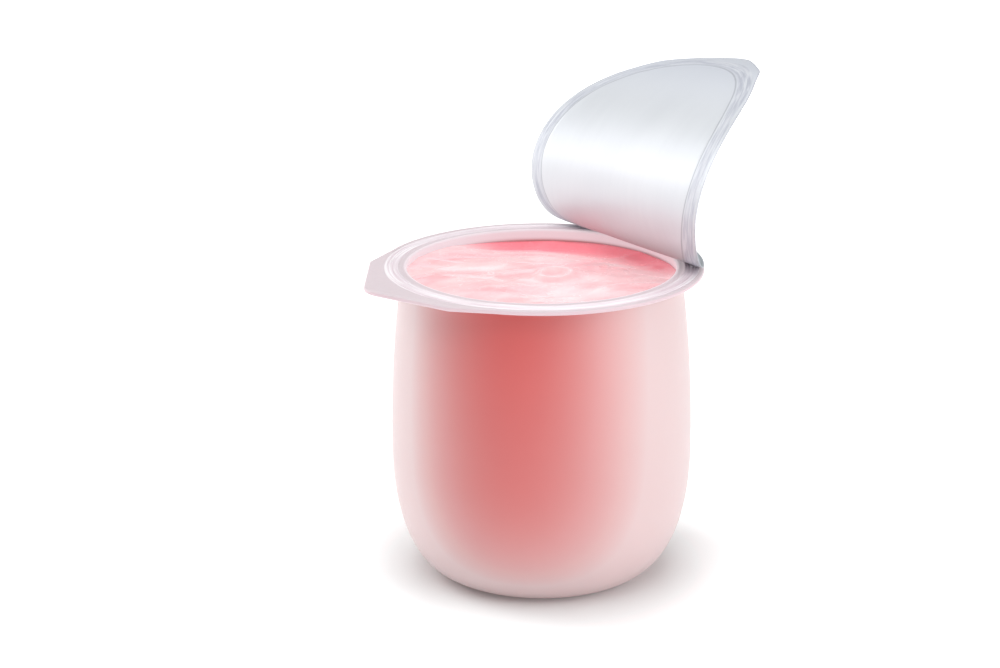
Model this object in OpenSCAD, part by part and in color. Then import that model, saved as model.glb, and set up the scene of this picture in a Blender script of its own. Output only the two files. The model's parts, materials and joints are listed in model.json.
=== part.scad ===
// Single-serve yogurt pot: a round thermoformed cup, its filling, and a heat-sealed foil lid
// that has been peeled back from the pull tab and hangs in a curl over the far side of the rim.
// The foil is drawn as a row of flat strips, each turned about the crease before it.
// Millimetres, +Z up, origin at the centre of the foot. The pull tab of the cup points to -X.

// Which piece to draw, or all of them

/* [Cup] */
// Height from the foot to the top of the flange
cup_h = 65; // [50:0.5:90]
// Radius of the round flange
flange_r = 33.2; // [28:0.1:45]
// Thickness of the flange
flange_t = 1; // [0.6:0.1:2]
// Widest radius of the barrel
barrel_r = 31; // [26:0.5:42]
// Height of the widest point of the barrel
barrel_z = 28.5; // [15:0.5:45]
// Outer radius of the neck, just under the flange
neck_r = 28.6; // [24:0.1:40]
// Radius of the flat foot
foot_r = 18.4; // [10:0.1:26]
// Wall thickness
wall = 0.8; // [0.5:0.1:1.5]
// Radius of the mouth in the flange
mouth_r = 27.5; // [22:0.1:38]
// Squareness of the rounded shoulder of the base, upwards
base_square_z = 2.39; // [1.5:0.01:4]
// Squareness of the rounded shoulder of the base, outwards
base_square_r = 2.16; // [1.5:0.01:4]
// Mean radius of the stiffening groove under the base
groove_r = 12; // [6:0.5:16]
// Depth of the stiffening groove
groove_depth = 0.35; // [0.1:0.05:0.5]

/* [Pull tab] */
// How far the rounded tip of the tab reaches from the axis
tab_reach = 39; // [34:0.5:50]
// Distance of the two straight tab edges from the axis
tab_edge = 35.2; // [30:0.1:46]
// Angle of each straight edge's normal from the tab's own axis
tab_angle = 27.5; // [20:0.5:40]
// Angle from the tab's axis at which the straight edge stops
tab_shoulder = 31.5; // [28:0.5:45]
// Angle from the tab's axis at which the tab runs into the round flange
tab_root = 47.5; // [35:0.5:60]

/* [Filling] */
// Gap from the top of the flange down to the yogurt
headspace = 2.5; // [2:0.5:15]
// Clearance between the yogurt solid and the cup wall
fill_gap = 0.05; // [0.02:0.01:0.2]

/* [Heat seal] */
// Inner radius of the sealed ring
seal_in_r = 29.2; // [26:0.1:40]
// Outer radius of the sealed ring
seal_out_r = 32.2; // [28:0.1:44]
// Thickness of the lacquer film left on the flange
residue_t = 0.1; // [0.05:0.01:0.3]
// Thickness of the bond where the lid still holds
bond_t = 0.3; // [0.1:0.05:0.6]

/* [Foil lid] */
// How far the rounded tip of the lid's own tab reaches from the axis
lid_reach = 37; // [34:0.5:50]
// Distance of the lid tab's two straight edges from the axis
lid_edge = 34.2; // [30:0.1:46]
// Thickness of the foil
foil_t = 0.25; // [0.1:0.05:0.5]
// Length of one strip of the curl
strip_w = 4; // [3:0.5:6]
// Distance of the first crease from the axis
root_x = 23.9; // [18:0.1:29]
// Bend at the first crease
root_bend = 28; // [5:0.5:32]
// Length over which the bend per crease fades
curl_fade = 23.9; // [10:0.1:60]
// Extra bend per crease near the tip, for the curled tab
tip_bend = 3; // [0:0.1:5]
// Crease from which the extra bend grows
tip_from = 11.7; // [6:0.1:13]
// Slant of the first crease across the lid
root_skew = 8.4; // [0:0.1:12]
// Slant lost at each following crease
skew_step = 3.2; // [1:0.1:6]
// Gap between two strips
crease_gap = 0.3; // [0.2:0.05:0.5]

/* [Hidden] */
$fn = 96;
crease_count = 15;
base_steps = 22;
neck_steps = 8;
groove_w = 3;
eps = 0.01;
big = 120;
flange_z = cup_h - flange_t;
fill_z = cup_h - headspace;
foil_z = cup_h + bond_t;
crease_z = foil_z + foil_t;

cup_plastic = [0.94, 0.88, 0.90];
yogurt_pink = [0.97, 0.80, 0.81];
lacquer_white = [0.90, 0.88, 0.93];
foil_silver = [0.80, 0.81, 0.84];

// ---- Cup profile: rounded base shoulder, then a gentle taper to the neck ----

function base_point(a) = [foot_r + (barrel_r - foot_r) * pow(sin(a), 2 / base_square_r),
                          barrel_z * (1 - pow(cos(a), 2 / base_square_z))];

function neck_point(t) = [barrel_r - (barrel_r - neck_r) * t * t,
                          barrel_z + (flange_z - barrel_z) * t];

outer_points = concat([for (k = [0 : base_steps]) base_point(90 * k / base_steps)],
                      [for (k = [1 : neck_steps]) neck_point(k / neck_steps)]);
outer_last = len(outer_points) - 1;

// Direction of the profile at point k, from its neighbours
function heading(k) = outer_points[min(k + 1, outer_last)] - outer_points[max(k - 1, 0)];

// The profile moved inwards by d, square to its own direction
function inset(k, d) = outer_points[k] + d * [-heading(k)[1], heading(k)[0]] / norm(heading(k));

function inset_points(d) = [for (k = [0 : outer_last]) inset(k, d)];

function reversed(list) = [for (k = [len(list) - 1 : -1 : 0]) list[k]];

module cup_wall() {
    rotate_extrude()
        polygon(concat([[0, 0]], outer_points,
                       [[neck_r, cup_h], [neck_r - wall, cup_h]],
                       reversed(inset_points(wall)), [[0, wall]]));
}

// Centre of a rounded tab tip that is tangent to both of its straight edges
function tip_centre(reach, edge) = (reach - edge) / (1 - cos(tab_angle));

// Round plate with a tab on its -X side
module rim_plate(r, t, reach, edge) {
    tip_c = tip_centre(reach, edge);
    tip_r = reach - tip_c;
    shoulder_r = edge / cos(tab_shoulder - tab_angle);
    rotate([0, 0, 180]) {
        cylinder(r = r, h = t);
        translate([tip_c, 0, 0])
            cylinder(r = tip_r, h = t);
        linear_extrude(height = t)
            polygon([[0, 0],
                     (r - eps) * [cos(tab_root), -sin(tab_root)],
                     shoulder_r * [cos(tab_shoulder), -sin(tab_shoulder)],
                     [tip_c + tip_r * cos(tab_angle), -tip_r * sin(tab_angle)],
                     [tip_c + tip_r * cos(tab_angle), tip_r * sin(tab_angle)],
                     shoulder_r * [cos(tab_shoulder), sin(tab_shoulder)],
                     (r - eps) * [cos(tab_root), sin(tab_root)]]);
    }
}

module cup() {
    color(cup_plastic)
        difference() {
            union() {
                cup_wall();
                difference() {
                    translate([0, 0, flange_z])
                        rim_plate(flange_r, flange_t, tab_reach, tab_edge);
                    translate([0, 0, flange_z - eps])
                        cylinder(r = mouth_r, h = flange_t + 2 * eps);
                }
            }
            translate([0, 0, -eps])
                difference() {
                    cylinder(r = groove_r + groove_w / 2, h = groove_depth + eps);
                    translate([0, 0, -eps])
                        cylinder(r = groove_r - groove_w / 2, h = groove_depth + 3 * eps);
                }
        }
}

// ---- Filling ----

module yogurt() {
    color(yogurt_pink)
        intersection() {
            rotate_extrude()
                polygon(concat([[0, wall + fill_gap]],
                               inset_points(wall + fill_gap), [[0, flange_z]]));
            cylinder(r = big, h = fill_z);
        }
}

// ---- Creases: each is a line across the lid, slanted a little near the root ----

function crease_x(i) = root_x - i * strip_w;

function crease_skew(i) = max(0, root_skew - i * skew_step);

function crease_bend(i) = root_bend * exp(-i * strip_w / curl_fade)
                          + tip_bend * max(0, i - tip_from);

// Everything on the tab side of crease i
module past_crease(i) {
    translate([crease_x(i), 0, 0])
        rotate([0, 0, crease_skew(i)])
            translate([-big - crease_gap / 2, -big / 2, 0])
                cube([big, big, big]);
}

// Everything on the root side of crease i
module before_crease(i) {
    translate([crease_x(i), 0, 0])
        rotate([0, 0, crease_skew(i)])
            translate([crease_gap / 2, -big / 2, 0])
                cube([big, big, big]);
}

// Turns what follows crease i about the upper edge of that crease
module turn_crease(i) {
    translate([crease_x(i), 0, crease_z])
        rotate([0, 0, crease_skew(i)])
            rotate([0, crease_bend(i), 0])
                rotate([0, 0, -crease_skew(i)])
                    translate([-crease_x(i), 0, -crease_z])
                        children();
}

// Carries a flat piece round the first n creases
module curl(n) {
    if (n == 0) {
        children();
    } else {
        curl(n - 1)
            turn_crease(n - 1)
                children();
    }
}

// ---- Heat seal ----

module seal_ring(t) {
    translate([0, 0, cup_h])
        difference() {
            cylinder(r = seal_out_r, h = t);
            translate([0, 0, -eps])
                cylinder(r = seal_in_r, h = t + 2 * eps);
        }
}

module seal_residue() {
    color(lacquer_white)
        intersection() {
            seal_ring(residue_t);
            past_crease(0);
        }
}

module seal_bond() {
    color(lacquer_white)
        intersection() {
            seal_ring(bond_t);
            before_crease(0);
        }
}

// ---- Foil lid ----

module flat_lid() {
    translate([0, 0, foil_z])
        rim_plate(flange_r, foil_t, lid_reach, lid_edge);
}

module lid_patch() {
    color(foil_silver)
        intersection() {
            flat_lid();
            before_crease(0);
        }
}

module lid_strip(i) {
    color(foil_silver)
        curl(i)
            intersection() {
                flat_lid();
                past_crease(i - 1);
                before_crease(i);
            }
}

module lid_tab() {
    color(foil_silver)
        curl(crease_count)
            intersection() {
                flat_lid();
                past_crease(crease_count - 1);
            }
}

cup();
yogurt();
seal_residue();
seal_bond();
lid_patch();
lid_strip(1);  // lid_strip_01
lid_strip(2);  // lid_strip_02
lid_strip(3);  // lid_strip_03
lid_strip(4);  // lid_strip_04
lid_strip(5);  // lid_strip_05
lid_strip(6);  // lid_strip_06
lid_strip(7);  // lid_strip_07
lid_strip(8);  // lid_strip_08
lid_strip(9);  // lid_strip_09
lid_strip(10);  // lid_strip_10
lid_strip(11);  // lid_strip_11
lid_strip(12);  // lid_strip_12
lid_strip(13);  // lid_strip_13
lid_strip(14);  // lid_strip_14
lid_tab();
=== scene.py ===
"""Looks for the yogurt pot: cup, filling, seal streaks and peeled foil lid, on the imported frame."""
import json
import math

import bpy
import numpy as np
from mathutils import Matrix, Vector, noise

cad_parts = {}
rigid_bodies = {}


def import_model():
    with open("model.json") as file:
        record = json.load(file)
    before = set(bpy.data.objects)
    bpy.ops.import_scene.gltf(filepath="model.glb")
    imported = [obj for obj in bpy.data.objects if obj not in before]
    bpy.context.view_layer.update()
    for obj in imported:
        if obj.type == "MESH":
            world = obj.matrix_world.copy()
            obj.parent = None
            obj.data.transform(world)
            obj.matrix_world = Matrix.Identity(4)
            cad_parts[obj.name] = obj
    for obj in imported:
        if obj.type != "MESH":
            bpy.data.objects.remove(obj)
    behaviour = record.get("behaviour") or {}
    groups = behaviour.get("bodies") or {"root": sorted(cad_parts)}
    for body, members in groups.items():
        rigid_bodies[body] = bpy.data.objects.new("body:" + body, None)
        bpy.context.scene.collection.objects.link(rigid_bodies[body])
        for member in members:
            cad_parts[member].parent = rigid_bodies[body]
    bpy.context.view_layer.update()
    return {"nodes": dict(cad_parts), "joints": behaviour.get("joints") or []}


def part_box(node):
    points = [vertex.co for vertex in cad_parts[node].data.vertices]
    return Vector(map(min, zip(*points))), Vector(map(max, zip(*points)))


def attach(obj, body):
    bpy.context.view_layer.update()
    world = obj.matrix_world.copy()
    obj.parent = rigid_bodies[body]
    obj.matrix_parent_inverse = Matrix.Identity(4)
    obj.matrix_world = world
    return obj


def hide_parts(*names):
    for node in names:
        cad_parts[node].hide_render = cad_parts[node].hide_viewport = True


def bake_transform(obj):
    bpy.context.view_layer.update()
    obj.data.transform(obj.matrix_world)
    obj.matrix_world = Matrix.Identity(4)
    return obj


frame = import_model()

# ---- Values, in metres unless said otherwise ----
MM = 0.001
# Tolerance for "at the same height"
LEVEL = 0.01 * MM
# Points round the axis, and the angle in radians under which two outline points count as one
AROUND = 288
SAME_ANGLE = 0.001
# Sine of the smallest turn that makes an outline point a corner
CORNER_TURN = 0.13
# Cup wall, and the filling's gap to it
WALL = 0.8 * MM
FILL_GAP = 0.05 * MM
# Height of the stirred surface over the plain filling
FILL_RISE = 0.6 * MM
# How far the flange's top lies under the cup's highest ring
LIP_STEP = 0.08 * MM
# Visible thickness of the foil and of the lacquer, and how far the foil sinks below its crease line
FOIL_THICK = 0.14 * MM
SEAL_THICK = 0.12 * MM
FOIL_LIFT = 0.06 * MM
# Gap that the visible foil keeps to the outline of the CAD lid
FOIL_INSET = 0.1 * MM
# Softening of the lid's corners: steps round the outline, and the half width in steps
LID_STEPS = 720
CORNER_EASE = 7
# Offset in strips for the foil's exact normals, and rulings per piece of foil
NUDGE = 0.03
ROWS_PER_PIECE = 13
PATCH_ROWS = 20
TIP_ROWS_PER_PIECE = 25
LAST_PIECE_ROWS = 48
TIP_PIECES = 7
# Creases drawn as two stiff halves
STIFF_CREASES = (8,)
# Camera, in degrees and metres; the lens and the sensor in millimetres
SHOT_AZIMUTH = -27.5
SHOT_ELEVATION = 15.8
SHOT_DISTANCE = 0.5
SHOT_LENS = 88.2
SHOT_SHIFT = (-0.0415, -0.0697)
SENSOR = 36.0


# ---- Reading the frame ----

def node_points(name):
    mesh = frame["nodes"][name].data
    co = np.zeros(len(mesh.vertices) * 3)
    mesh.vertices.foreach_get("co", co)
    return co.reshape(-1, 3)


def right_hull(points):
    """Outer side of a (radius, height) cloud, from the lowest point to the highest."""
    points = sorted(set((round(z, 7), round(r, 7)) for r, z in points))
    chain = []
    for p in points:
        while len(chain) > 1:
            (z0, r0), (z1, r1) = chain[-2], chain[-1]
            if (z1 - z0) * (p[1] - r0) - (r1 - r0) * (p[0] - z0) < 0:
                break
            chain.pop()
        chain.append(p)
    return [(r, z) for z, r in chain]


SEAL = node_points("seal_residue")
SEAL_R = np.hypot(SEAL[:, 0], SEAL[:, 1])
SEAL_IN, SEAL_OUT = SEAL_R.min(), SEAL_R.max()
CUP = node_points("cup")
CUP_R = np.hypot(CUP[:, 0], CUP[:, 1])
TOP_Z = CUP[:, 2].max()
TIP_OF_FLANGE = CUP_R > CUP_R.max() - 0.3 * MM
FLANGE_T = TOP_Z - CUP[TIP_OF_FLANGE, 2].min()
UNDER_Z = TOP_Z - FLANGE_T
BELOW = CUP[:, 2] < UNDER_Z + 0.1 * LEVEL
AT_NECK = (CUP[:, 2] > UNDER_Z - LEVEL) & BELOW & (CUP_R < SEAL_IN + 0.3 * MM)
NECK_R = CUP_R[AT_NECK].max()
MOUTH_R = CUP_R[CUP[:, 2] > TOP_Z - LEVEL].min()
FILL_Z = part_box("yogurt")[1].z
FOLD_X = frame["joints"][0]["pos_m"][0]


def outline_by_angle(points):
    """Outline points sorted by angle, without repeats, ready for rim_radius()."""
    angles = np.arctan2(points[:, 1], points[:, 0])
    order = np.argsort(angles)
    angles, points = angles[order], points[order][:, :2]
    fresh = np.concatenate([[True], np.diff(angles) > SAME_ANGLE])
    return angles[fresh], points[fresh]


def rim_outline():
    """Corner points of the flange's edge, by angle."""
    return outline_by_angle(CUP[(CUP[:, 2] > TOP_Z - LEVEL) & (CUP_R > SEAL_OUT + 0.3 * MM)])


RIM = rim_outline()


def rim_radius(angle, outline=RIM):
    """Distance from the axis to an outline in one direction; the flange's edge unless another is named."""
    angle = math.atan2(math.sin(angle), math.cos(angle))
    angles, points = outline
    k = int(np.searchsorted(angles, angle))
    p, q = points[k - 1], points[k % len(points)]
    d = np.array([math.cos(angle), math.sin(angle)])
    side = q - p
    cross = d[0] * side[1] - d[1] * side[0]
    if abs(cross) < 1e-12:
        return float(np.hypot(*p))
    return float((p[0] * side[1] - p[1] * side[0]) / cross)


def around_angles():
    """Even angles, plus the sharp corners of the tab."""
    even = [2 * math.pi * k / AROUND - math.pi for k in range(AROUND)]
    bend = []
    angles, points = RIM
    count = len(points)
    for k in range(count):
        a, b, c = points[k - 1], points[k], points[(k + 1) % count]
        u, v = (b - a) / np.hypot(*(b - a)), (c - b) / np.hypot(*(c - b))
        if abs(u[0] * v[1] - u[1] * v[0]) > CORNER_TURN:
            bend.append(float(angles[k]))
    gap = math.pi / AROUND
    kept = [a for a in even if all(abs(a - b) > gap * 0.9 for b in bend)]
    return sorted(kept + bend)


ANGLES = around_angles()


# ---- Mesh helpers ----

def make_piece(name, verts, faces, material):
    mesh = bpy.data.meshes.new(name)
    mesh.from_pydata([tuple(v) for v in verts], [], faces)
    mesh.validate()
    mesh.materials.append(material)
    for p in mesh.polygons:
        p.use_smooth = True
    obj = bpy.data.objects.new(name, mesh)
    bpy.context.scene.collection.objects.link(obj)
    return obj


def keep_flat_places(obj, coords):
    """Stores x, y and edge distance on the flat lid, so that the foil's pattern stays put when it bends."""
    layer = obj.data.attributes.new("flat", "FLOAT_VECTOR", "POINT")
    layer.data.foreach_set("vector", np.asarray(coords, np.float32).ravel())


def ring_faces(rings, count, closed=True):
    """Quads between rings of equal length, joined end to end when closed."""
    faces = []
    last = rings if closed else rings - 1
    for j in range(last):
        a, b = j * count, ((j + 1) % rings) * count
        for k in range(count):
            n = (k + 1) % count
            faces.append((a + k, a + n, b + n, b + k))
    return faces


# ---- Material helpers ----

class Nodes:
    """Short names for building one material."""

    def __init__(self, name):
        self.material = bpy.data.materials.new(name)
        self.material.use_nodes = True
        self.tree = self.material.node_tree
        self.tree.nodes.clear()
        self.out = self.tree.nodes.new("ShaderNodeOutputMaterial")

    def node(self, kind, **values):
        made = self.tree.nodes.new(kind)
        for key, value in values.items():
            setattr(made, key, value)
        return made

    def link(self, a, b):
        self.tree.links.new(a, b)

    def shader(self, **sockets):
        made = self.node("ShaderNodeBsdfPrincipled")
        for key, value in sockets.items():
            made.inputs[key.replace("_", " ")].default_value = value
        self.link(made.outputs[0], self.out.inputs[0])
        return made

    def place(self, attribute=None):
        if attribute:
            return self.node("ShaderNodeAttribute", attribute_name=attribute).outputs["Vector"]
        return self.node("ShaderNodeTexCoord").outputs["Object"]

    def noise(self, where, scale, detail=3.0, rough=0.5, stretch=None):
        if stretch:
            mapping = self.node("ShaderNodeMapping")
            mapping.inputs["Scale"].default_value = stretch
            self.link(where, mapping.inputs[0])
            where = mapping.outputs[0]
        made = self.node("ShaderNodeTexNoise")
        made.inputs["Scale"].default_value = scale
        made.inputs["Detail"].default_value = detail
        made.inputs["Roughness"].default_value = rough
        self.link(where, made.inputs["Vector"])
        return made.outputs["Fac"]

    def ramp(self, fac, stops):
        made = self.node("ShaderNodeValToRGB")
        band = made.color_ramp
        while len(band.elements) < len(stops):
            band.elements.new(0.5)
        for element, (at, colour) in zip(band.elements, stops):
            element.position = at
            element.color = (*colour, 1)
        self.link(fac, made.inputs[0])
        return made.outputs[0]

    def spread(self, fac, low, high, to_low, to_high):
        made = self.node("ShaderNodeMapRange", interpolation_type="SMOOTHSTEP")
        for key, value in zip(("From Min", "From Max", "To Min", "To Max"), (low, high, to_low, to_high)):
            made.inputs[key].default_value = value
        self.link(fac, made.inputs["Value"])
        return made.outputs[0]

    def maths(self, operation, a, b=None):
        made = self.node("ShaderNodeMath", operation=operation)
        for socket, value in zip(made.inputs, (a, b)):
            if value is None:
                continue
            if isinstance(value, (int, float)):
                socket.default_value = value
            else:
                self.link(value, socket)
        return made.outputs[0]

    def mix(self, fac, a, b):
        made = self.node("ShaderNodeMix", data_type="RGBA")
        for socket, value in ((made.inputs[0], fac), (made.inputs[6], a), (made.inputs[7], b)):
            if isinstance(value, tuple):
                socket.default_value = (*value, 1)
            elif isinstance(value, (int, float)):
                socket.default_value = value
            else:
                self.link(value, socket)
        return made.outputs[2]

    def parts(self, where):
        made = self.node("ShaderNodeSeparateXYZ")
        self.link(where, made.inputs[0])
        return made.outputs

    def radius(self, where):
        x, y, _ = self.parts(where)
        square = self.maths("ADD", self.maths("MULTIPLY", x, x), self.maths("MULTIPLY", y, y))
        return self.maths("SQRT", square)

    def bump(self, height, distance):
        made = self.node("ShaderNodeBump")
        made.inputs["Strength"].default_value = 1.0
        made.inputs["Distance"].default_value = distance
        self.link(height, made.inputs["Height"])
        return made.outputs[0]


# How far the cup's whitish veil leans round the wall. The veil is partly the milky plastic seen at a slant
# and partly a painted sheen; the lean paints one side of the cup lighter, as if lit from there
PAINTED_SHEEN_LEAN = (0.186, -0.097, 0.0)


def cup_material():
    m = Nodes("cup_plastic")
    where = m.place()
    _, _, z = m.parts(where)
    radius = m.radius(where)
    cloud = m.noise(where, 38.0, 3.0)
    streak = m.noise(where, 60.0, 2.0, 0.5, (1.0, 1.0, 0.12))
    wet = m.maths("ADD", z, m.maths("MULTIPLY", m.maths("SUBTRACT", cloud, 0.5), 0.6 * MM))
    inner = m.spread(radius, NECK_R - 0.7 * MM, NECK_R - 0.45 * MM, 1.0, 0.0)
    inner_wall = m.maths("MULTIPLY", inner, m.spread(wet, FILL_Z - 1.2 * MM, FILL_Z + 0.9 * MM, 0.0, 1.0))
    above = m.maths("MAXIMUM", m.spread(wet, FILL_Z + 0.4 * MM, TOP_Z - 1.3 * MM, 0.0, 1.0), inner_wall)
    outside = m.spread(radius, NECK_R + 0.1 * MM, NECK_R + 0.8 * MM, 0.0, 1.0)
    lip = m.maths("MULTIPLY", outside, m.spread(z, UNDER_Z - 1.0 * MM, UNDER_Z - 0.1 * MM, 0.0, 1.0))
    clear = m.maths("MAXIMUM", above, lip)
    pink = m.ramp(m.maths("ADD", m.maths("MULTIPLY", cloud, 0.5), m.maths("MULTIPLY", streak, 0.5)),
                  [(0.3, (0.505, 0.016, 0.011)), (0.7, (0.54, 0.027, 0.021))])
    milky = m.ramp(cloud, [(0.3, (0.36, 0.30, 0.322)), (0.7, (0.40, 0.333, 0.357))])
    # Painted sheen: the pink is mixed toward milky white at grazing angles, measured against a normal leaned
    # round the wall, so one side is painted lighter than the other
    lean = m.node("ShaderNodeVectorMath", operation="ADD")
    m.link(m.node("ShaderNodeTexCoord").outputs["Normal"], lean.inputs[0])
    lean.inputs[1].default_value = PAINTED_SHEEN_LEAN
    upright = m.node("ShaderNodeVectorMath", operation="NORMALIZE")
    m.link(lean.outputs[0], upright.inputs[0])
    facing = m.node("ShaderNodeLayerWeight")
    facing.inputs[0].default_value = 0.5
    m.link(upright.outputs[0], facing.inputs["Normal"])
    veil_and_painted_sheen = m.maths("MULTIPLY", facing.outputs["Facing"], 1.75)
    veil_and_painted_sheen = m.maths("MINIMUM", veil_and_painted_sheen, 0.75)
    pink = m.mix(veil_and_painted_sheen, pink, (0.64, 0.585, 0.59))
    side = m.maths("MULTIPLY", m.spread(radius, NECK_R + 1.6 * MM, NECK_R + 2.4 * MM, 0.0, 1.0),
                   m.spread(z, TOP_Z - 0.32 * MM, TOP_Z - 0.12 * MM, 0.55, 0.0))
    milky = m.mix(side, milky, (0.42, 0.25, 0.29))
    shader = m.shader(IOR=1.49, Specular_IOR_Level=0.25, Coat_Roughness=0.42, Coat_IOR=1.75,
                      Sheen_Weight=0.08, Sheen_Roughness=0.55, Subsurface_Weight=0.1,
                      Subsurface_Scale=1.0 * MM)
    shader.inputs["Subsurface Radius"].default_value = (1.0, 0.5, 0.45)
    shader.inputs["Sheen Tint"].default_value = (1.0, 0.93, 0.93, 1)
    m.link(m.mix(clear, pink, milky), shader.inputs["Base Color"])
    # Painted light: the milky flange and the inner wall above the filling glow, to lift them where the lid
    # shades them
    shader.inputs["Emission Color"].default_value = (0.9, 0.8, 0.84, 1)
    painted_glow = m.maths("ADD", m.maths("MULTIPLY", clear, 0.35), m.maths("MULTIPLY", inner, 0.2))
    m.link(m.maths("MULTIPLY", clear, painted_glow), shader.inputs["Emission Strength"])
    grain = m.noise(where, 900.0, 2.0)
    m.link(m.spread(grain, 0.2, 0.8, 0.38, 0.46), shader.inputs["Roughness"])
    m.link(m.spread(clear, 0.0, 1.0, 1.0, 0.3), shader.inputs["Coat Weight"])
    m.link(m.bump(m.noise(where, 160.0, 3.0), 0.02 * MM), shader.inputs["Normal"])
    return m.material


def yogurt_material():
    m = Nodes("yogurt")
    where = m.place()
    x, y, _ = m.parts(where)
    swirl = m.noise(where, 70.0, 3.0, 0.5, (1.0, 2.2, 1.0))
    fleck = m.noise(where, 420.0, 2.0)
    side = m.maths("ADD", m.maths("MULTIPLY", x, 0.8), m.maths("MULTIPLY", y, 0.6))
    rim = m.maths("ADD", m.radius(where), m.maths("MULTIPLY", m.maths("SUBTRACT", swirl, 0.5), 8 * MM))
    ripe = m.maths("MULTIPLY", m.spread(side, 10.0 * MM, 20.0 * MM, 0.0, 1.0),
                   m.spread(rim, 19.0 * MM, 26.0 * MM, 0.0, 1.0))
    base = m.ramp(m.maths("ADD", swirl, m.maths("MULTIPLY", m.maths("SUBTRACT", fleck, 0.5), 0.1)),
                  [(0.3, (0.64, 0.26, 0.29)), (0.48, (0.66, 0.37, 0.39)), (0.64, (0.68, 0.48, 0.49))])
    red = m.ramp(swirl, [(0.3, (0.80, 0.10, 0.14)), (0.7, (0.82, 0.22, 0.26))])
    # Painted light: the filling glows pink, redder on the ripe side, to lift it where the lid shades it
    shader = m.shader(IOR=1.4, Specular_IOR_Level=0.35, Coat_Weight=0.18, Coat_Roughness=0.14,
                      Subsurface_Weight=0.4, Subsurface_Scale=2.0 * MM, Emission_Strength=0.36)
    shader.inputs["Subsurface Radius"].default_value = (1.0, 0.55, 0.5)
    m.link(m.mix(ripe, base, red), shader.inputs["Base Color"])
    m.link(m.mix(ripe, (0.95, 0.68, 0.70), (0.95, 0.34, 0.40)), shader.inputs["Emission Color"])
    m.link(m.spread(fleck, 0.2, 0.8, 0.16, 0.3), shader.inputs["Roughness"])
    m.link(m.bump(m.noise(where, 120.0, 2.0), 0.02 * MM), shader.inputs["Normal"])
    return m.material


def lacquer_material():
    m = Nodes("heat_seal_lacquer")
    where = m.place()
    radius = m.radius(where)
    x, y, _ = m.parts(where)
    join = m.node("ShaderNodeCombineXYZ")
    m.link(radius, join.inputs[0])
    m.link(m.maths("MULTIPLY", m.maths("ARCTAN2", y, x), 0.6 * MM), join.inputs[1])
    lines = m.noise(join.outputs[0], 2600.0, 3.0, 0.6)
    shader = m.shader(IOR=1.45, Coat_Weight=0.3, Coat_Roughness=0.2)
    streaks = m.ramp(lines, [(0.32, (0.74, 0.60, 0.66)), (0.5, (0.84, 0.74, 0.79)),
                             (0.66, (0.95, 0.92, 0.94))])
    m.link(streaks, shader.inputs["Base Color"])
    m.link(m.spread(lines, 0.3, 0.7, 0.28, 0.5), shader.inputs["Roughness"])
    return m.material


def foil_material():
    m = Nodes("lid_foil")
    where = m.place("flat")
    x, y, edge = m.parts(where)
    brushed = m.noise(where, 260.0, 3.0, 0.6, (0.25, 2.0, 0.0))
    cloud = m.noise(where, 45.0, 2.0, 0.5, (1.0, 1.0, 0.0))
    base = m.ramp(m.maths("ADD", m.maths("MULTIPLY", brushed, 0.4), m.maths("MULTIPLY", cloud, 0.6)),
                  [(0.3, (0.62, 0.645, 0.68)), (0.7, (0.67, 0.695, 0.725))])
    radius = m.radius(where)
    join = m.node("ShaderNodeCombineXYZ")
    m.link(m.maths("MULTIPLY", radius, 14.0), join.inputs[0])
    m.link(x, join.inputs[1])
    m.link(y, join.inputs[2])
    lines = m.noise(join.outputs[0], 150.0, 2.0, 0.6)
    seal = m.ramp(lines, [(0.36, (0.40, 0.42, 0.49)), (0.5, (0.52, 0.54, 0.60)), (0.66, (0.64, 0.66, 0.70))])
    band = m.maths("MULTIPLY", m.spread(radius, SEAL_IN - 0.1 * MM, SEAL_IN + 0.3 * MM, 0.0, 1.0),
                   m.spread(radius, SEAL_OUT - 0.1 * MM, SEAL_OUT + 0.5 * MM, 1.0, 0.0))
    # Painted shade: the groove just inside the seal band is painted dark
    groove = m.maths("MULTIPLY", m.spread(radius, SEAL_IN - 0.6 * MM, SEAL_IN - 0.35 * MM, 0.0, 1.0),
                     m.spread(radius, SEAL_IN - 0.25 * MM, SEAL_IN, 1.0, 0.0))
    rim = m.spread(edge, 0.2 * MM, 0.6 * MM, 0.5, 0.0)
    # Painted shade: the foil is painted dark grey-green over the 9 mm before the crease, where the fold lies
    # in shade
    fold = m.spread(x, FOLD_X - 9 * MM, FOLD_X, 0.0, 0.7)
    # Painted shade: the foil is painted darker and bluer towards the tip, standing in for the dimmer light
    # on the curled lid's top
    tab = m.spread(x, -30 * MM, -8 * MM, 0.8, 0.0)
    base = m.mix(tab, m.mix(fold, base, (0.30, 0.34, 0.345)), (0.55, 0.58, 0.645))
    marked = m.mix(m.maths("MULTIPLY", band, 0.8), base, seal)
    marked = m.mix(m.maths("MULTIPLY", groove, 0.6), marked, (0.28, 0.29, 0.34))
    coloured = m.mix(rim, marked, (0.42, 0.44, 0.50))
    shader = m.shader(Metallic=0.25, Coat_Weight=0.1, Coat_Roughness=0.3)
    m.link(coloured, shader.inputs["Base Color"])
    m.link(m.maths("ADD", m.spread(brushed, 0.2, 0.8, 0.42, 0.5), m.maths("MULTIPLY", band, 0.08)),
           shader.inputs["Roughness"])
    m.link(m.bump(brushed, 0.012 * MM), shader.inputs["Normal"])
    return m.material


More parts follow.
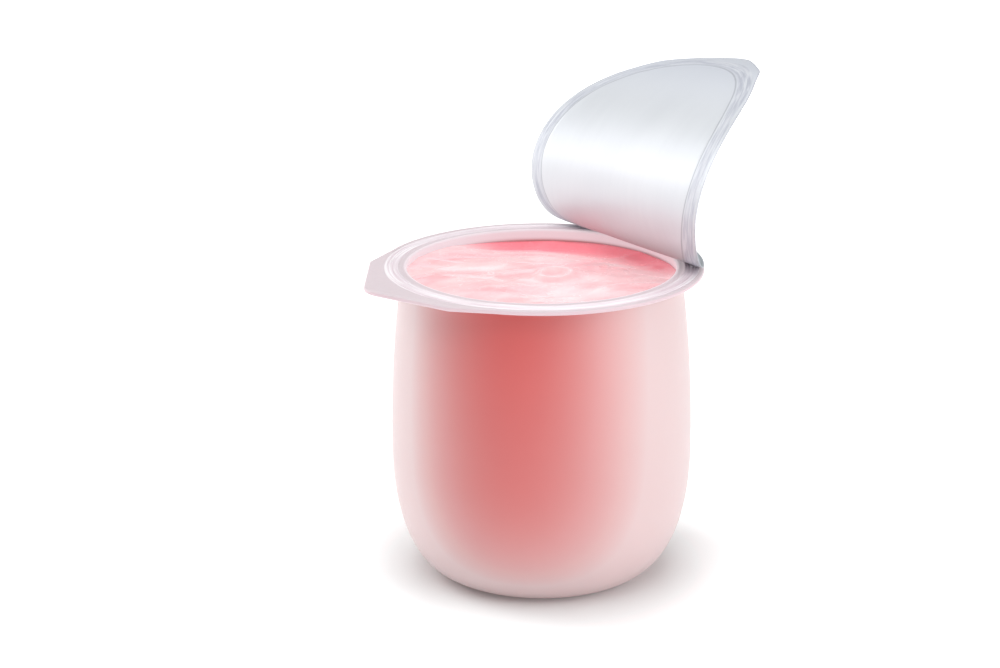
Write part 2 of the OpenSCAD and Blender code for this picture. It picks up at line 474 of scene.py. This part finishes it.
def floor_material():
    m = Nodes("studio_floor")
    where = m.place()
    shader = m.shader(Emission_Color=(1, 1, 1, 1))
    pale = m.ramp(m.noise(where, 6.0, 2.0), [(0.2, (0.84, 0.84, 0.84)), (0.8, (0.86, 0.86, 0.86))])
    # Painted contact shadow: the floor is painted darker and greyer within about 26 to 50 mm of the axis,
    # round the foot
    m.link(m.mix(m.spread(m.radius(where), 0.026, 0.05, 0.0, 1.0), (0.74, 0.79, 0.79), pale),
           shader.inputs["Base Color"])
    far = m.spread(m.radius(where), 0.12, 0.8, 0.0, 0.4)
    # Painted light: the floor glows little near the foot and more from 46 mm out, covering the pink light
    # thrown by the pot and leaving a painted contact shadow by the foot
    near = m.spread(m.radius(where), 0.024, 0.046, 0.08, 0.38)
    m.link(m.maths("ADD", near, far), shader.inputs["Emission Strength"])
    m.link(m.spread(m.noise(where, 300.0, 2.0), 0.2, 0.8, 0.66, 0.74), shader.inputs["Roughness"])
    return m.material


# ---- Cup ----

def outer_profile():
    """Outer wall from the foot's edge up to the neck, evenly stepped."""
    cloud = [(r, z) for r, z in zip(CUP_R[BELOW], CUP[BELOW, 2]) if r < NECK_R + 4 * MM]
    hull = [p for p in right_hull(cloud) if p[0] > 2 * MM]
    rz = np.array(hull)
    run = np.concatenate([[0], np.cumsum(np.hypot(*np.diff(rz, axis=0).T))])
    steps = np.linspace(0, run[-1], 90)
    return np.stack([np.interp(steps, run, rz[:, 0]), np.interp(steps, run, rz[:, 1])], 1)


def smoothed(points, rounds):
    points = points.copy()
    for _ in range(rounds):
        points[1:-1] = points[1:-1] * 0.5 + (points[:-2] + points[2:]) * 0.25
    return points


OUTER = smoothed(outer_profile(), 3)


def wall_radius(z, inset):
    """Radius of the wall at height z, moved inwards."""
    up = OUTER[np.argmax(OUTER[:, 1] > 0.01 * MM):]
    return float(np.interp(z, up[:, 1], up[:, 0])) - inset


def arc(centre_r, centre_z, radius, start, end, steps):
    """Profile points on an arc, between two angles in degrees."""
    made = []
    for k in range(steps + 1):
        a = math.radians(start + (end - start) * k / steps)
        made.append((centre_r + radius * math.cos(a), centre_z + radius * math.sin(a)))
    return made


# Radius where the flange's underside begins, and height of the hollow under the base
UNDER_R = NECK_R + 1.2 * MM
GROOVE_Z = 0.35 * MM


def build_cup():
    """Base with its stiffening groove, wall, neck, cornered flange with a rolled lip, and the inside."""
    foot = OUTER[0]
    profile = [(0, GROOVE_Z), (1.0 * MM, GROOVE_Z), (4 * MM, GROOVE_Z), (9.6 * MM, GROOVE_Z),
               (10.2 * MM, 0.3 * MM), (10.6 * MM, 0.05 * MM), (11 * MM, 0.0)]
    profile += [(r, 0.0) for r in np.linspace(13 * MM, foot[0] - 1.2 * MM, 5)]
    profile += [(r, z) for r, z in OUTER[1:-2]]
    profile += arc(NECK_R + 0.9 * MM, UNDER_Z - 0.8 * MM, 0.85 * MM, 180, 90, 6)
    profile += [(UNDER_R, UNDER_Z, share) for share in (0.12, 0.25, 0.4, 0.55, 0.7, 0.8)]
    profile += edge_ring()
    profile += rim_top()
    profile += inside_wall()
    cup = turned(profile, cup_material(), "cup_shell", rim_radius)
    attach(cup, "cup")
    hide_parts("cup")


# Rolled lip of the flange: distance inside the outline in mm, and share of the flange's thickness
LIP = ((1.5, 0.0), (1.2, -0.05), (0.9, -0.05), (0.45, 0.0), (0.18, 0.12), (0.05, 0.28), (0.0, 0.45),
       (0.0, 0.62), (0.06, 0.8), (0.2, 0.94), (0.42, 1.0), (0.7, 0.97), (1.0, 0.92))


def edge_ring():
    """The flange's outer edge: a small rolled lip, drawn as rings that follow the outline."""
    return [(UNDER_R, UNDER_Z + z * FLANGE_T, ("edge", back * MM)) for back, z in LIP]


# Rounding at the mouth
MOUTH_ROUND = 0.38 * MM


def rim_top():
    """Top of the flange between the outer lip and the mouth."""
    low = TOP_Z - LIP_STEP
    flat = (SEAL_OUT + 0.25 * MM, SEAL_OUT, SEAL_OUT - 1.2 * MM, SEAL_IN + 0.8 * MM, SEAL_IN)
    rings = [(r, low) for r in flat]
    for inside, depth in ((0.25, 0.12), (0.5, 0.2), (0.8, 0.14), (1.05, -0.02)):
        rings.append((SEAL_IN - inside * MM, low - depth * MM))
    rings.append((MOUTH_R + 0.48 * MM, TOP_Z))
    rings += arc(MOUTH_R + MOUTH_ROUND, TOP_Z - MOUTH_ROUND, MOUTH_ROUND, 80, 190, 9)
    return rings


# Height of the inside of the base
BASE_TOP = WALL + 0.02 * MM


def inside_wall():
    """Inner wall down to the middle of the base."""
    rings = [(MOUTH_R + 0.12 * MM, TOP_Z - 1.0 * MM), (MOUTH_R + 0.25 * MM, TOP_Z - 1.6 * MM)]
    for z in np.linspace(TOP_Z - 2.4 * MM, 3 * MM, 60):
        rings.append((wall_radius(z, WALL), z))
    for z, shrink in ((2.0, 1.3), (1.3, 1.9), (0.95, 2.6)):
        rings.append((wall_radius(z * MM, shrink * MM), z * MM))
    rings += [(r * MM, BASE_TOP) for r in (14, 8, 2, 0)]
    return rings


# Width of the lip inside the outline, which a leaning ring stops short of
LIP_WIDTH = 1.6 * MM


def turned(profile, material, name, radius_of):
    """A closed turned solid. A ring's third value, if any, is how far it leans from the circle to
    the outline, or ("edge", distance) for a ring at a set distance inside that outline."""
    rings = profile[1:-1]
    verts = []
    for item in rings:
        r, z = item[0], item[1]
        reach = item[2] if len(item) > 2 else 0.0
        for a in ANGLES:
            if isinstance(reach, tuple):
                rr = max(r, radius_of(a) - reach[1])
            elif reach:
                rr = r + reach * (radius_of(a) - LIP_WIDTH - r)
            else:
                rr = r
            verts.append((rr * math.cos(a), rr * math.sin(a), z))
    count = len(ANGLES)
    faces = ring_faces(len(rings), count, closed=False)
    first, last = len(verts), len(verts) + 1
    verts += [(0, 0, profile[0][1]), (0, 0, profile[-1][1])]
    top = (len(rings) - 1) * count
    for k in range(count):
        n = (k + 1) % count
        faces.append((first, n, k))
        faces.append((last, top + k, top + n))
    return make_piece(name, verts, faces, material)


# ---- Yogurt ----

# Small dimples in the yogurt, in mm: place, size and depth
DIMPLES = ((13.0, -2.5, 0.9, 0.35), (15.2, 0.5, 0.7, 0.3), (10.5, -5.5, 0.6, 0.25),
           (17.0, -4.0, 0.8, 0.3), (-9.0, 5.0, 0.7, 0.2))
TOP_RINGS = 72


def swirl_height(x, y):
    """Stirred surface: long folds, a ring-shaped lump near the middle, dimples, and a dip on one side."""
    u, v = x / MM, y / MM
    turn = math.radians(28)
    a = u * math.cos(turn) - v * math.sin(turn)
    b = u * math.sin(turn) + v * math.cos(turn)
    warp = 4.0 * noise.noise(Vector((a / 16, b / 12, 1.7)))
    fold = noise.noise(Vector(((a + warp) / 18, (b + warp) / 8.0, 0.3)))
    ridge = 1 - abs(noise.noise(Vector(((a + warp) / 22, (b - warp) / 9.0, 5.1)))) * 2.4
    height = 0.85 * fold + 0.5 * max(0.0, ridge) ** 2
    height += 0.04 * noise.noise(Vector((u / 5.0, v / 3.6, 9.0)))
    lump = math.hypot(u - 1.5, (v + 3.0) * 1.2)
    height += 0.75 * math.exp(-((lump - 3.4) / 1.1) ** 2) - 0.4 * math.exp(-(lump / 2.0) ** 2)
    for cx, cy, size, depth in DIMPLES:
        d = math.hypot(u - cx, v - cy) / size
        height += depth * (math.exp(-(d - 1.1) ** 2 * 4) - 1.2 * math.exp(-d * d * 2))
    side = (u * 0.8 + v * 0.6 - 4.0) / 20.0
    dip = min(max(side, 0.0), 1.0)
    height = height * (1 - 0.35 * dip) - 2.1 * dip * dip * (3 - 2 * dip)
    return height * MM


def build_yogurt():
    """Closed filling: skin against the wall, and a stirred top that climbs a little at the edge."""
    gap = WALL + FILL_GAP
    count = len(ANGLES)
    verts, rings = [], 0
    for z in np.concatenate([np.linspace(1.2 * MM, 6 * MM, 8), np.linspace(8 * MM, FILL_Z - 3.4 * MM, 28)]):
        r = min(wall_radius(z, gap), wall_radius(max(z - 0.8 * MM, 0.1 * MM), 0.5 * MM))
        verts += [(r * math.cos(a), r * math.sin(a), z) for a in ANGLES]
        rings += 1
    edge_r = wall_radius(FILL_Z, gap)
    for j in range(TOP_RINGS):
        share = 1 - j / TOP_RINGS
        for a in ANGLES:
            x, y = edge_r * share * math.cos(a), edge_r * share * math.sin(a)
            calm = min(1.0, (1 - share) / 0.12)
            calm = calm * calm * (3 - 2 * calm)
            swell = swirl_height(x, y) * (0.55 + 0.45 * calm) + FILL_RISE
            climb = 0.35 * MM * math.exp(-(1 - share) / 0.02)
            verts.append((x, y, FILL_Z + swell + climb))
        rings += 1
    faces = ring_faces(rings, count, closed=False)
    centre = swirl_height(0, 0) + FILL_RISE + FILL_Z
    first, last = len(verts), len(verts) + 1
    verts += [(0, 0, 1.0 * MM), (0, 0, centre)]
    top = (rings - 1) * count
    for k in range(count):
        n = (k + 1) % count
        faces.append((first, n, k))
        faces.append((last, top + k, top + n))
    piece = make_piece("yogurt_filling", verts, faces, yogurt_material())
    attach(piece, "cup")
    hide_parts("yogurt")


# ---- Heat seal ----

def seal_height(r, a):
    """Fine concentric ridges left where the lid was pulled off, broken along their length."""
    ripple = 0.5 + 0.5 * math.sin(2 * math.pi * r / (0.62 * MM))
    wander = noise.noise(Vector((math.cos(a) * 4, math.sin(a) * 4, r / MM * 1.7)))
    return 0.25 + 0.75 * ripple * max(0.15, 0.6 + 0.9 * wander)


def build_seal():
    """One thin ring of lacquer on the flange."""
    steps = 30
    low = TOP_Z - LIP_STEP - 0.02 * MM
    verts = []
    radii = [SEAL_IN + (SEAL_OUT - SEAL_IN) * k / steps for k in range(steps + 1)]
    for k, r in enumerate(radii):
        fade = min(1.0, k / 2, (steps - k) / 2)
        for a in ANGLES:
            h = low + 0.02 * MM + fade * SEAL_THICK * seal_height(r, a)
            verts.append((r * math.cos(a), r * math.sin(a), h))
    for r in (SEAL_OUT - 0.05 * MM, SEAL_IN + 0.05 * MM):
        verts += [(r * math.cos(a), r * math.sin(a), low) for a in ANGLES]
    faces = [f[::-1] for f in ring_faces(steps + 3, len(ANGLES))]
    piece = make_piece("seal_streaks", verts, faces, lacquer_material())
    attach(piece, "cup")
    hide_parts("seal_residue", "seal_bond")


# ---- Foil lid ----

def creases():
    """Each joint of the lid in order: its crease on the flat lid, and the matrices to flat and to rest."""
    found, shut = [], Matrix.Identity(4)
    for j in frame["joints"]:
        axis, point = Vector(j["axis"]), Vector(j["pos_m"])
        turn = Matrix.Translation(point) @ Matrix.Rotation(math.radians(j["range_deg"][0]), 4, axis)
        turn = turn @ Matrix.Translation(-point)
        shut = shut @ turn
        found.append({"body": j["child"], "parent": j["parent"], "point": point, "axis": axis,
                      "bend": -j["range_deg"][0], "shut": shut.copy()})
    before = Matrix.Identity(4)
    for c in found:
        c["flat_point"] = before @ c["point"]
        c["flat_axis"] = (before.to_3x3() @ c["axis"]).normalized()
        c["open"] = c["shut"].inverted()
        before = c["shut"]
    return found


CREASES = creases()
FLAT_Z = CREASES[0]["flat_point"].z


def lid_outline():
    """Edge of the lid laid flat, gathered from the sealed patch and every strip."""
    patch = node_points("lid_patch")
    clouds = [patch]
    for c in CREASES:
        m = np.array(c["shut"])
        clouds.append(node_points(c["body"]) @ m[:3, :3].T + m[:3, 3])
    cloud = np.concatenate(clouds)
    r = np.hypot(cloud[:, 0], cloud[:, 1])
    round_r = np.hypot(patch[:, 0], patch[:, 1]).max()
    top = np.abs(cloud[:, 2] - FLAT_Z) < 0.01 * MM
    return outline_by_angle(cloud[top & (r > round_r - 0.08 * MM)])


LID = lid_outline()


def eased_outline():
    """Radius of the lid at even angles, with its corners softened."""
    sharp = np.array([rim_radius(2 * math.pi * k / LID_STEPS - math.pi, LID) for k in range(LID_STEPS)])
    weights = np.hanning(2 * CORNER_EASE + 3)[1:-1]
    weights /= weights.sum()
    shifts = range(-CORNER_EASE, CORNER_EASE + 1)
    soft = sum(w * np.roll(sharp, k) for w, k in zip(weights, shifts))
    return np.append(soft, soft[0])


LID_EASED = eased_outline()


def lid_radius(angle):
    """Distance from the axis to the flat lid's edge in one direction."""
    place = (math.atan2(math.sin(angle), math.cos(angle)) + math.pi) * LID_STEPS / (2 * math.pi)
    k = min(int(place), LID_STEPS - 1)
    t = place - k
    return float(LID_EASED[k] * (1 - t) + LID_EASED[k + 1] * t)


def ruling(s):
    """The line across the flat lid at place s: k is crease k, and k + 0.5 the middle of the next strip."""
    last = len(CREASES) - 1
    k = min(max(int(math.floor(s)), 0), last - 1)
    a, b = CREASES[k], CREASES[k + 1]
    t = s - k
    point = a["flat_point"].lerp(b["flat_point"], t)
    axis = a["flat_axis"].lerp(b["flat_axis"], min(max(t, 0.0), 1.0)).normalized()
    return point, axis


def outline_cut(point, axis):
    """Where a ruling crosses the lid's outline, on its two sides, as distances along it."""
    ends = []
    for sign in (-1, 1):
        low, high = 0.0, 45 * MM
        for _ in range(34):
            mid = (low + high) / 2
            p = point + axis * (sign * mid)
            inside = math.hypot(p.x, p.y) < lid_radius(math.atan2(p.y, p.x)) - FOIL_INSET
            low, high = (mid, high) if inside else (low, mid)
        ends.append(sign * low)
    return ends


def carried(s, p):
    """A flat point of the ruling at place s, carried to the rest curl along a smooth arc."""
    k = int(math.floor(s + 0.5))
    t = s + 0.5 - k
    if k < 0:
        return p.copy()
    last = len(CREASES) - 1
    if k > last:
        return CREASES[last]["open"] @ p
    start = CREASES[k - 1]["open"] if k > 0 else Matrix.Identity(4)
    end = CREASES[k]["open"]
    a, b = ruling(k - 0.5), ruling(k + 0.5)
    c = (CREASES[k]["flat_point"], CREASES[k]["flat_axis"])
    side = (p - ruling(s)[0]).dot(ruling(s)[1])
    pa = start @ (a[0] + a[1] * side)
    pc = start @ (c[0] + c[1] * side)
    pb = end @ (b[0] + b[1] * side)
    return pa * (1 - t) ** 2 + pc * (2 * t * (1 - t)) + pb * t * t


def place_of(x):
    """Place s of a flat x on the lid's own axis."""
    step = CREASES[0]["flat_point"].x - CREASES[1]["flat_point"].x
    return (CREASES[0]["flat_point"].x - x) / step


# Steps in mm from the foil's edge across its seal band
BAND_STEPS = (0, 0.12, 0.26, 0.42, *(0.6 + 0.18 * k for k in range(21)), 4.5, 4.9)
MIDDLE_STEPS = 30
ACROSS = 2 * len(BAND_STEPS) + MIDDLE_STEPS - 1


def edge_distance(x, y):
    r = math.hypot(x, y)
    return lid_radius(math.atan2(y, x)) - r


def emboss(x, y):
    """Height of the flat lid's relief: seal band ridges near the edge, and faint waves elsewhere."""
    d = edge_distance(x, y) / MM
    r = math.hypot(x, y) / MM
    height = 0.06 * math.exp(-((d - 0.3) / 0.2) ** 2)
    band = 1 / (1 + math.exp((SEAL_IN / MM + 0.1 - r) * 7)) / (1 + math.exp((r - SEAL_OUT / MM) * 8))
    height += band * 0.03 * math.sin(2 * math.pi * r / 0.74)
    height -= 0.09 * math.exp(-((r - SEAL_IN / MM + 0.3) / 0.24) ** 2)
    inner = 1 / (1 + math.exp((r - SEAL_IN / MM + 1.6) * 1.8))
    wave = noise.noise(Vector((x / MM / 15, y / MM / 11, 3.3)))
    fine = noise.noise(Vector((x / MM / 5, y / MM / 9, 8.1)))
    height += inner * (0.10 * wave + 0.025 * fine)
    height += (1 - inner) * 0.03 * noise.noise(Vector((x / MM / 2.5, y / MM / 2.5, 1.1)))
    return height * MM


def column_shares(length):
    """Steps across a row of that length, close together near both ends for the seal band."""
    shrink = min(1.0, 0.42 * length / (BAND_STEPS[-1] * MM))
    near = [d * MM * shrink / length for d in BAND_STEPS]
    inner = 1 - 2 * near[-1]
    middle = [near[-1] + inner * k / MIDDLE_STEPS for k in range(1, MIDDLE_STEPS)]
    return near + middle + [1 - d for d in reversed(near)]


def sheet_row(s):
    """Flat points and rest points along one ruling."""
    point, axis = ruling(s)
    low, high = outline_cut(point, axis)
    row = []
    for share in column_shares(max(high - low, 0.001 * MM)):
        flat = point + axis * (low + (high - low) * share)
        row.append((flat, carried(s, flat)))
    return row


def row_normal(s):
    """Direction square to the curled sheet at place s, away from the cup's side when the lid is shut."""
    a = carried(s - 0.02, ruling(s - 0.02)[0])
    b = carried(s + 0.02, ruling(s + 0.02)[0])
    k = min(max(int(math.floor(s + 0.5)), 0), len(CREASES) - 1)
    across = CREASES[k]["axis"]
    return (b - a).normalized().cross(across).normalized() * -1.0


def lifted_row(s):
    """One ruling of the embossed sheet: flat places and points on its upper face."""
    normal = row_normal(s)
    row = sheet_row(s)
    points = np.array([rest + normal * (emboss(flat.x, flat.y) - FOIL_LIFT) for flat, rest in row])
    return [(flat.x, flat.y, edge_distance(flat.x, flat.y)) for flat, _ in row], points, np.array(normal)


def build_strip(name, places, material):
    """A closed thin sheet over some rulings, embossed on both faces alike, with exact surface normals."""
    width = ACROSS
    upper, lower, flats, normals = [], [], [], []
    for s in places:
        flat, points, normal = lifted_row(s)
        before, after = lifted_row(s - NUDGE)[1], lifted_row(s + NUDGE)[1]
        along = after - before
        across = np.gradient(points, axis=0)
        square = np.cross(along, across)
        length = np.linalg.norm(square, axis=1, keepdims=True)
        square = np.where(length > 1e-14, square / np.maximum(length, 1e-14), normal)
        square *= np.sign((square * normal).sum(1, keepdims=True))
        flats += flat
        normals += list(square)
        upper += list(points)
        lower += list(points - normal * FOIL_THICK)
    verts = upper + lower
    under = len(upper)
    faces = []
    count = len(places)
    for j in range(count - 1):
        for k in range(width - 1):
            a, b = j * width + k, j * width + k + 1
            c, d = a + width, b + width
            faces.append((a, b, d, c))
            faces.append((under + a, under + c, under + d, under + b))
    sheet_faces = len(faces)
    edge = [(0, k) for k in range(width)] + [(j, width - 1) for j in range(1, count)]
    edge += [(count - 1, k) for k in range(width - 2, -1, -1)] + [(j, 0) for j in range(count - 2, 0, -1)]
    ids = [j * width + k for j, k in edge]
    for a, b in zip(ids, ids[1:] + ids[:1]):
        faces.append((b, a, under + a, under + b))
    piece = make_piece(name, verts, faces, material)
    keep_flat_places(piece, flats + flats)
    exact_normals(piece, normals, under, sheet_faces)
    return piece


def exact_normals(piece, normals, under, sheet_faces):
    """Both faces take the sheet's own normals, so that neighbouring pieces shade as one."""
    mesh = piece.data
    loops = []
    for polygon in mesh.polygons:
        for v in polygon.vertices:
            if polygon.index >= sheet_faces:
                loops.append(tuple(polygon.normal))
            elif v < under:
                loops.append(tuple(normals[v]))
            else:
                loops.append(tuple(-normals[v - under]))
    mesh.normals_split_custom_set(loops)


def eased(first, last, count):
    """Places from first to last, much closer together at the first, where the outline turns round."""
    return [first + (last - first) * (k / (count - 1)) ** 2 for k in range(count)]


# Step in strips that keeps the end rulings off the outline's turning points
END_STEP = 0.002


def tip_place():
    """Place of the lid's very tip."""
    return place_of(-(lid_radius(math.pi) - FOIL_INSET)) - END_STEP


def root_place():
    """Place of the lid's far edge, on the sealed side."""
    return place_of(lid_radius(0.0) - FOIL_INSET) + END_STEP


def stiff_halves(k, crease, material):
    """Two halves that each ride on one body, for a crease whose bend is too slight to blend reliably."""
    near = build_strip(f"foil_fold_{k + 1:02d}_near", np.linspace(k - 0.5, k, ROWS_PER_PIECE), material)
    far = build_strip(f"foil_fold_{k + 1:02d}_far", np.linspace(k, k + 0.5, ROWS_PER_PIECE), material)
    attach(near, crease["parent"])
    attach(far, crease["body"])
    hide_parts(crease["body"])


def build_lid():
    """The sealed patch, then one piece for each crease in its rest curl; a stiff crease is split into two
    halves that ride on the bodies it joins.
    """
    material = foil_material()
    root = build_strip("foil_patch", eased(root_place(), -0.5, PATCH_ROWS), material)
    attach(root, "cup")
    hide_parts("lid_patch")
    last = len(CREASES) - 1
    for k, crease in enumerate(CREASES):
        if k in STIFF_CREASES:
            stiff_halves(k, crease, material)
            continue
        end = tip_place() if k == last else k + 0.5
        count = ROWS_PER_PIECE if k < last - TIP_PIECES else TIP_ROWS_PER_PIECE
        places = np.linspace(k - 0.5, end, count)
        if k == last:
            places = eased(end, k - 0.5, LAST_PIECE_ROWS)[::-1]
        piece = build_strip(f"foil_fold_{k + 1:02d}", places, material)
        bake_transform(piece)
        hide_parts(crease["body"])


# ---- Stage ----

def build_floor():
    """A wide round floor whose edge curls up well away from the object."""
    count, material = 96, floor_material()
    radii = [0.05, 0.2, 0.6, 1.2, 2.0, 3.0, 3.6, 3.9]
    heights = [0, 0, 0, 0, 0, 0, 0.15, 0.5]
    verts = [(0, 0, 0)]
    for r, z in zip(radii, heights):
        verts += [(r * math.cos(2 * math.pi * k / count), r * math.sin(2 * math.pi * k / count), z)
                  for k in range(count)]
    faces = [(0, 1 + k, 1 + (k + 1) % count) for k in range(count)]
    for j in range(len(radii) - 1):
        a, b = 1 + j * count, 1 + (j + 1) * count
        faces += [(a + k, b + k, b + (k + 1) % count, a + (k + 1) % count) for k in range(count)]
    floor = make_piece("studio_floor", verts, faces, material)


def soft_light(name, azimuth, elevation, distance, size, power):
    """A rectangular white softbox aimed at the middle of the pot."""
    data = bpy.data.lights.new(name, "AREA")
    data.shape = "RECTANGLE"
    data.size, data.size_y = size
    data.energy = power
    lamp = bpy.data.objects.new(name, data)
    a, e = math.radians(azimuth), math.radians(elevation)
    back = Vector((math.sin(a) * math.cos(e), -math.cos(a) * math.cos(e), math.sin(e)))
    lamp.location = Vector((0, 0, 0.04)) + back * distance
    lamp.rotation_euler = back.to_track_quat("Z", "Y").to_euler()
    bpy.context.scene.collection.objects.link(lamp)


def tone():
    """Plain display curve, so that white stays white and the pinks keep their strength."""
    bpy.context.scene.view_settings.view_transform = "Standard"


def build_lights():
    middle = SHOT_AZIMUTH - 16
    soft_light("left_box", middle - 98, 30, 0.7, (0.3, 0.5), 2.2)
    soft_light("right_box", middle + 75, 22, 0.7, (0.5, 0.5), 2.4)
    soft_light("back_box", SHOT_AZIMUTH + 180, 45, 0.9, (0.6, 0.4), 1.5)
    soft_light("top_box", SHOT_AZIMUTH - 12, 64, 0.9, (0.8, 0.8), 4.6)
    world = bpy.data.worlds.new("studio")
    bpy.context.scene.world = world
    world.use_nodes = True
    world.node_tree.nodes["Background"].inputs[0].default_value = (1, 1, 1, 1)
    world.node_tree.nodes["Background"].inputs[1].default_value = 0.27


def build_camera():
    data = bpy.data.cameras.new("shot")
    data.lens = SHOT_LENS
    data.sensor_width = SENSOR
    data.shift_x, data.shift_y = SHOT_SHIFT
    data.clip_start, data.clip_end = 0.01, 20.0
    camera = bpy.data.objects.new("shot", data)
    a, e = math.radians(SHOT_AZIMUTH), math.radians(SHOT_ELEVATION)
    back = Vector((math.sin(a) * math.cos(e), -math.cos(a) * math.cos(e), math.sin(e)))
    camera.location = Vector((0, 0, TOP_Z)) + back * SHOT_DISTANCE
    camera.rotation_euler = back.to_track_quat("Z", "Y").to_euler()
    bpy.context.scene.collection.objects.link(camera)
    bpy.context.scene.camera = camera


build_cup()
build_yogurt()
build_seal()
build_lid()
build_floor()
build_lights()
build_camera()
tone()
